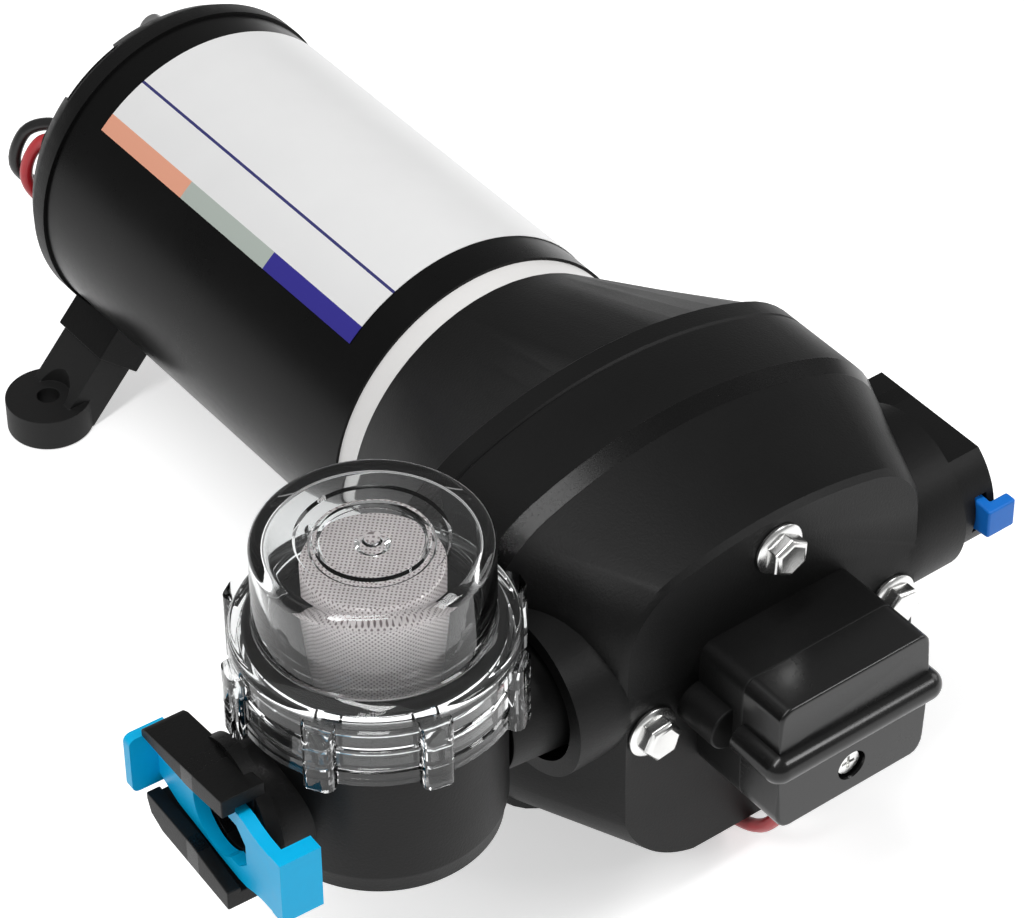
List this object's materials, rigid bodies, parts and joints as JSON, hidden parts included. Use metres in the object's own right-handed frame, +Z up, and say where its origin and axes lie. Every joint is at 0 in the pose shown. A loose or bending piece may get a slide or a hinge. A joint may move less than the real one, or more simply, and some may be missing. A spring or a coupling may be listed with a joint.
{
  "type": "diaphragm water pump",
  "caption": "Motor-driven diaphragm water pump for a caravan, with a pressure switch, quick-fit side ports, a clear inlet strainer and rubber feet.",
  "frame": {"origin": "middle of the rectangle of four foot holes, on the mounting plane", "axes": "+Y along the motor axis towards the rear, +Z up from the mounting plane, +X towards the outlet port"},
  "size_m": [0.1885, 0.256, 0.113],
  "materials": {
    "can_black": "semi-gloss black enamel",
    "moulded_black": "fine-textured black moulding",
    "gloss_black": "smooth black moulding",
    "rubber_black": "matt black rubber",
    "off_white": "satin off-white",
    "bright_zinc": "bright zinc plate",
    "steel": "plain steel",
    "lamination": "stacked steel laminations",
    "ferrite": "sintered ferrite",
    "copper": "bare copper",
    "carbon": "carbon",
    "natural_plastic": "natural moulding",
    "phenolic": "brown phenolic board",
    "valve_rubber": "red rubber",
    "clear": "clear moulding",
    "mesh": "fine woven mesh",
    "blue": "bright blue moulding",
    "red_insulation": "red insulation",
    "black_insulation": "black insulation"
  },
  "bodies": {
    "pump": {"motor_can": "can_black", "end_cap": "moulded_black", "spacer_ring": "off_white", "tie_bolts": "steel", "magnets": "ferrite", "rear_bearing": "steel", "front_bearing": "steel", "brush_holder": "phenolic", "brushes": "carbon", "brush_springs": "steel", "wire_grommet": "rubber_black", "red_wire": "red_insulation", "black_wire": "black_insulation", "drive_housing": "moulded_black", "cam_bearing": "steel", "wobble_plate": "natural_plastic", "diaphragm": "rubber_black", "pistons": "natural_plastic", "piston_screws": "steel", "valve_plate": "natural_plastic", "inlet_valves": "valve_rubber", "outlet_valve": "valve_rubber", "head_seal": "rubber_black", "pump_head": "moulded_black", "head_screws": "bright_zinc", "switch_base": "moulded_black", "switch_diaphragm": "rubber_black", "lever_pin": "steel", "switch_spring": "steel", "snap_switch": "gloss_black", "switch_cover": "gloss_black", "strainer_body": "moulded_black", "spigot_seal": "rubber_black", "strainer_screen": "mesh", "rear_bracket": "moulded_black", "rear_feet": "rubber_black", "front_feet": "rubber_black"},
    "rotor": {"motor_shaft": "steel", "rotor_core": "lamination", "rotor_windings": "copper", "commutator": "copper", "eccentric": "steel"},
    "outlet_slide": {"outlet_clip": "blue"},
    "strainer_slide": {"strainer_clip": "blue"},
    "bowl_ring": {"bowl_seal": "rubber_black"},
    "bowl": {"strainer_bowl": "clear"},
    "lever": {"switch_lever": "steel"},
    "plunger": {"switch_plunger": "natural_plastic"},
    "adjuster": {"adjusting_screw": "bright_zinc"}
  },
  "joints": [
    {"name": "rotor_spin", "type": "hinge", "parent": "pump", "child": "rotor", "pos_m": [0, 0, 0.052], "axis": [0, 1, 0], "continuous": true},
    {"name": "outlet_clip_slide", "type": "slide", "parent": "pump", "child": "outlet_slide", "axis": [0, -1, 0], "range_m": [0, 0.005]},
    {"name": "strainer_clip_slide", "type": "slide", "parent": "pump", "child": "strainer_slide", "axis": [0.1107, 0.9719, 0.2079], "range_m": [0, 0.005]},
    {"name": "bowl_lift", "type": "slide", "parent": "pump", "child": "bowl_ring", "axis": [0, 0, 1], "range_m": [0, 0.009]},
    {"name": "bowl_turn", "type": "hinge", "parent": "bowl_ring", "child": "bowl", "pos_m": [-0.08074, -0.12086, 0.06], "axis": [0, 0, 1], "range_deg": [0, 720]},
    {"name": "lever_tilt", "type": "hinge", "parent": "pump", "child": "lever", "pos_m": [0, -0.1496, 0.06335], "axis": [-1, 0, 0], "range_deg": [0, 5.3], "stiffness_Nm_per_rad": 0.5, "deforming": ["switch_spring"]},
    {"name": "plunger_slide", "type": "slide", "parent": "pump", "child": "plunger", "axis": [0, -1, 0], "range_m": [0, 0.0008]},
    {"name": "adjuster_turn", "type": "hinge", "parent": "pump", "child": "adjuster", "pos_m": [0, -0.16, 0.04275], "axis": [0, -1, 0], "range_deg": [-180, 180]}
  ],
  "couplings": [
    {"joint": "bowl_lift", "follows": "bowl_turn", "m_per_rad": 0.000716},
    {"joint": "plunger_slide", "follows": "lever_tilt", "m_per_rad": 0.0086}
  ]
}
